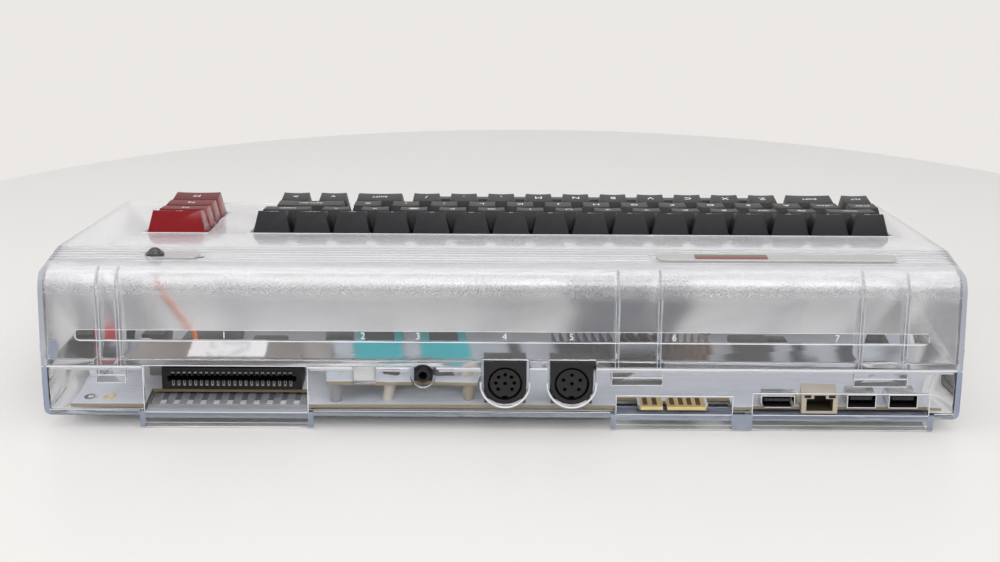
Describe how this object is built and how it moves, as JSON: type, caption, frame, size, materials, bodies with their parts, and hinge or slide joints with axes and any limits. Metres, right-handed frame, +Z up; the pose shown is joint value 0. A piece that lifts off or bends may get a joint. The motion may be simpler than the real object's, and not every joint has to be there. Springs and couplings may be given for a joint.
{
  "type": "vintage home computer",
  "caption": "Wedge-shaped home computer in a clear case, with sprung keys, rear and side sockets, inner boards and a rocker power switch.",
  "frame": {"origin": "middle of the underside, on the table, under the middle of the case", "axes": "+X to the user's right, +Y to the rear where the sockets are, +Z up"},
  "size_m": [0.4076, 0.216, 0.0763],
  "materials": {
    "clear_lower": "clear, lightly frosted, cool tint",
    "clear_upper": "clear, lightly frosted, cool tint",
    "board_white": "white solder mask",
    "chip_black": "satin",
    "sheet_metal": "dull tinned",
    "bright_metal": "bright plated",
    "socket_black": "satin",
    "socket_cream": "satin",
    "rocker_pale": "satin",
    "plate_steel": "dull",
    "switch_dark": "satin",
    "chip_teal": "satin",
    "lamp_dark": "glossy",
    "lead_orange": "satin",
    "badge_metal": "brushed",
    "foot_rubber": "matte",
    "screw_steel": "bright",
    "cap_dark": "satin",
    "cap_red": "satin"
  },
  "bodies": {
    "case": {"lower_shell": "clear_lower", "upper_shell": "clear_upper", "main_board": "board_white", "board_parts": "chip_black", "shield_box": "sheet_metal", "cartridge_socket": "socket_black", "av_board": "board_white", "audio_jack": "socket_black", "video_socket": "socket_black", "serial_socket": "socket_black", "digital_video_socket": "bright_metal", "network_socket": "socket_cream", "host_sockets": "bright_metal", "control_sockets": "bright_metal", "power_inlet": "socket_black", "switch_body": "socket_black", "key_plate": "plate_steel", "keyboard_board": "board_white", "key_switches": "switch_dark", "sound_chips": "chip_teal", "power_lamp": "lamp_dark", "inner_leads": "lead_orange", "badge_plates": "badge_metal", "feet": "foot_rubber", "screws": "screw_steel"},
    "switch_rocker": {"switch_rocker": "rocker_pale"},
    "key_arrow": {"key_arrow": "cap_dark"},
    "key_1": {"key_1": "cap_dark"},
    "key_2": {"key_2": "cap_dark"},
    "key_3": {"key_3": "cap_dark"},
    "key_4": {"key_4": "cap_dark"},
    "key_5": {"key_5": "cap_dark"},
    "key_6": {"key_6": "cap_dark"},
    "key_7": {"key_7": "cap_dark"},
    "key_8": {"key_8": "cap_dark"},
    "key_9": {"key_9": "cap_dark"},
    "key_0": {"key_0": "cap_dark"},
    "key_plus": {"key_plus": "cap_dark"},
    "key_minus": {"key_minus": "cap_dark"},
    "key_pound": {"key_pound": "cap_dark"},
    "key_home": {"key_home": "cap_dark"},
    "key_delete": {"key_delete": "cap_dark"},
    "key_control": {"key_control": "cap_dark"},
    "key_restore": {"key_restore": "cap_dark"},
    "key_stop": {"key_stop": "cap_dark"},
    "key_shift_lock": {"key_shift_lock": "cap_dark"},
    "key_return": {"key_return": "cap_dark"},
    "key_symbol": {"key_symbol": "cap_dark"},
    "key_shift_left": {"key_shift_left": "cap_dark"},
    "key_shift_right": {"key_shift_right": "cap_dark"},
    "key_cursor_down": {"key_cursor_down": "cap_dark"},
    "key_cursor_right": {"key_cursor_right": "cap_dark"},
    "space_bar": {"space_bar": "cap_dark"},
    "key_f1": {"key_f1": "cap_red"},
    "key_f3": {"key_f3": "cap_red"},
    "key_f5": {"key_f5": "cap_red"},
    "key_f7": {"key_f7": "cap_red"},
    "letters_upper": {"letters_upper": "cap_dark"},
    "letters_middle": {"letters_middle": "cap_dark"},
    "letters_lower": {"letters_lower": "cap_dark"}
  },
  "joints": [
    {"name": "key_arrow_press", "type": "slide", "parent": "case", "child": "key_arrow", "axis": [0, 0.1495, -0.9888], "range_m": [0, 0.0036], "stiffness_N_per_m": 160},
    {"name": "key_1_press", "type": "slide", "parent": "case", "child": "key_1", "axis": [0, 0.1495, -0.9888], "range_m": [0, 0.0036], "stiffness_N_per_m": 160},
    {"name": "key_2_press", "type": "slide", "parent": "case", "child": "key_2", "axis": [0, 0.1495, -0.9888], "range_m": [0, 0.0036], "stiffness_N_per_m": 160},
    {"name": "key_3_press", "type": "slide", "parent": "case", "child": "key_3", "axis": [0, 0.1495, -0.9888], "range_m": [0, 0.0036], "stiffness_N_per_m": 160},
    {"name": "key_4_press", "type": "slide", "parent": "case", "child": "key_4", "axis": [0, 0.1495, -0.9888], "range_m": [0, 0.0036], "stiffness_N_per_m": 160},
    {"name": "key_5_press", "type": "slide", "parent": "case", "child": "key_5", "axis": [0, 0.1495, -0.9888], "range_m": [0, 0.0036], "stiffness_N_per_m": 160},
    {"name": "key_6_press", "type": "slide", "parent": "case", "child": "key_6", "axis": [0, 0.1495, -0.9888], "range_m": [0, 0.0036], "stiffness_N_per_m": 160},
    {"name": "key_7_press", "type": "slide", "parent": "case", "child": "key_7", "axis": [0, 0.1495, -0.9888], "range_m": [0, 0.0036], "stiffness_N_per_m": 160},
    {"name": "key_8_press", "type": "slide", "parent": "case", "child": "key_8", "axis": [0, 0.1495, -0.9888], "range_m": [0, 0.0036], "stiffness_N_per_m": 160},
    {"name": "key_9_press", "type": "slide", "parent": "case", "child": "key_9", "axis": [0, 0.1495, -0.9888], "range_m": [0, 0.0036], "stiffness_N_per_m": 160},
    {"name": "key_0_press", "type": "slide", "parent": "case", "child": "key_0", "axis": [0, 0.1495, -0.9888], "range_m": [0, 0.0036], "stiffness_N_per_m": 160},
    {"name": "key_plus_press", "type": "slide", "parent": "case", "child": "key_plus", "axis": [0, 0.1495, -0.9888], "range_m": [0, 0.0036], "stiffness_N_per_m": 160},
    {"name": "key_minus_press", "type": "slide", "parent": "case", "child": "key_minus", "axis": [0, 0.1495, -0.9888], "range_m": [0, 0.0036], "stiffness_N_per_m": 160},
    {"name": "key_pound_press", "type": "slide", "parent": "case", "child": "key_pound", "axis": [0, 0.1495, -0.9888], "range_m": [0, 0.0036], "stiffness_N_per_m": 160},
    {"name": "key_home_press", "type": "slide", "parent": "case", "child": "key_home", "axis": [0, 0.1495, -0.9888], "range_m": [0, 0.0036], "stiffness_N_per_m": 160},
    {"name": "key_delete_press", "type": "slide", "parent": "case", "child": "key_delete", "axis": [0, 0.1495, -0.9888], "range_m": [0, 0.0036], "stiffness_N_per_m": 160},
    {"name": "key_control_press", "type": "slide", "parent": "case", "child": "key_control", "axis": [0, 0.1495, -0.9888], "range_m": [0, 0.0036], "stiffness_N_per_m": 160},
    {"name": "key_restore_press", "type": "slide", "parent": "case", "child": "key_restore", "axis": [0, 0.1495, -0.9888], "range_m": [0, 0.0036], "stiffness_N_per_m": 160},
    {"name": "key_stop_press", "type": "slide", "parent": "case", "child": "key_stop", "axis": [0, 0.1495, -0.9888], "range_m": [0, 0.0036], "stiffness_N_per_m": 160},
    {"name": "key_shift_lock_press", "type": "slide", "parent": "case", "child": "key_shift_lock", "axis": [0, 0.1495, -0.9888], "range_m": [0, 0.0036], "stiffness_N_per_m": 160},
    {"name": "key_return_press", "type": "slide", "parent": "case", "child": "key_return", "axis": [0, 0.1495, -0.9888], "range_m": [0, 0.0036], "stiffness_N_per_m": 160},
    {"name": "key_symbol_press", "type": "slide", "parent": "case", "child": "key_symbol", "axis": [0, 0.1495, -0.9888], "range_m": [0, 0.0036], "stiffness_N_per_m": 160},
    {"name": "key_shift_left_press", "type": "slide", "parent": "case", "child": "key_shift_left", "axis": [0, 0.1495, -0.9888], "range_m": [0, 0.0036], "stiffness_N_per_m": 160},
    {"name": "key_shift_right_press", "type": "slide", "parent": "case", "child": "key_shift_right", "axis": [0, 0.1495, -0.9888], "range_m": [0, 0.0036], "stiffness_N_per_m": 160},
    {"name": "key_cursor_down_press", "type": "slide", "parent": "case", "child": "key_cursor_down", "axis": [0, 0.1495, -0.9888], "range_m": [0, 0.0036], "stiffness_N_per_m": 160},
    {"name": "key_cursor_right_press", "type": "slide", "parent": "case", "child": "key_cursor_right", "axis": [0, 0.1495, -0.9888], "range_m": [0, 0.0036], "stiffness_N_per_m": 160},
    {"name": "space_bar_press", "type": "slide", "parent": "case", "child": "space_bar", "axis": [0, 0.1495, -0.9888], "range_m": [0, 0.0036], "stiffness_N_per_m": 320},
    {"name": "key_f1_press", "type": "slide", "parent": "case", "child": "key_f1", "axis": [0, 0.1495, -0.9888], "range_m": [0, 0.0036], "stiffness_N_per_m": 160},
    {"name": "key_f3_press", "type": "slide", "parent": "case", "child": "key_f3", "axis": [0, 0.1495, -0.9888], "range_m": [0, 0.0036], "stiffness_N_per_m": 160},
    {"name": "key_f5_press", "type": "slide", "parent": "case", "child": "key_f5", "axis": [0, 0.1495, -0.9888], "range_m": [0, 0.0036], "stiffness_N_per_m": 160},
    {"name": "key_f7_press", "type": "slide", "parent": "case", "child": "key_f7", "axis": [0, 0.1495, -0.9888], "range_m": [0, 0.0036], "stiffness_N_per_m": 160},
    {"name": "letters_upper_press", "type": "slide", "parent": "case", "child": "letters_upper", "axis": [0, 0.1495, -0.9888], "range_m": [0, 0.0036], "stiffness_N_per_m": 2080},
    {"name": "letters_middle_press", "type": "slide", "parent": "case", "child": "letters_middle", "axis": [0, 0.1495, -0.9888], "range_m": [0, 0.0036], "stiffness_N_per_m": 1920},
    {"name": "letters_lower_press", "type": "slide", "parent": "case", "child": "letters_lower", "axis": [0, 0.1495, -0.9888], "range_m": [0, 0.0036], "stiffness_N_per_m": 1600},
    {"name": "switch_rock", "type": "hinge", "parent": "case", "child": "switch_rocker", "pos_m": [0.197, 0.028, 0.0183], "axis": [0, 0, -1], "range_deg": [0, 18]}
  ]
}
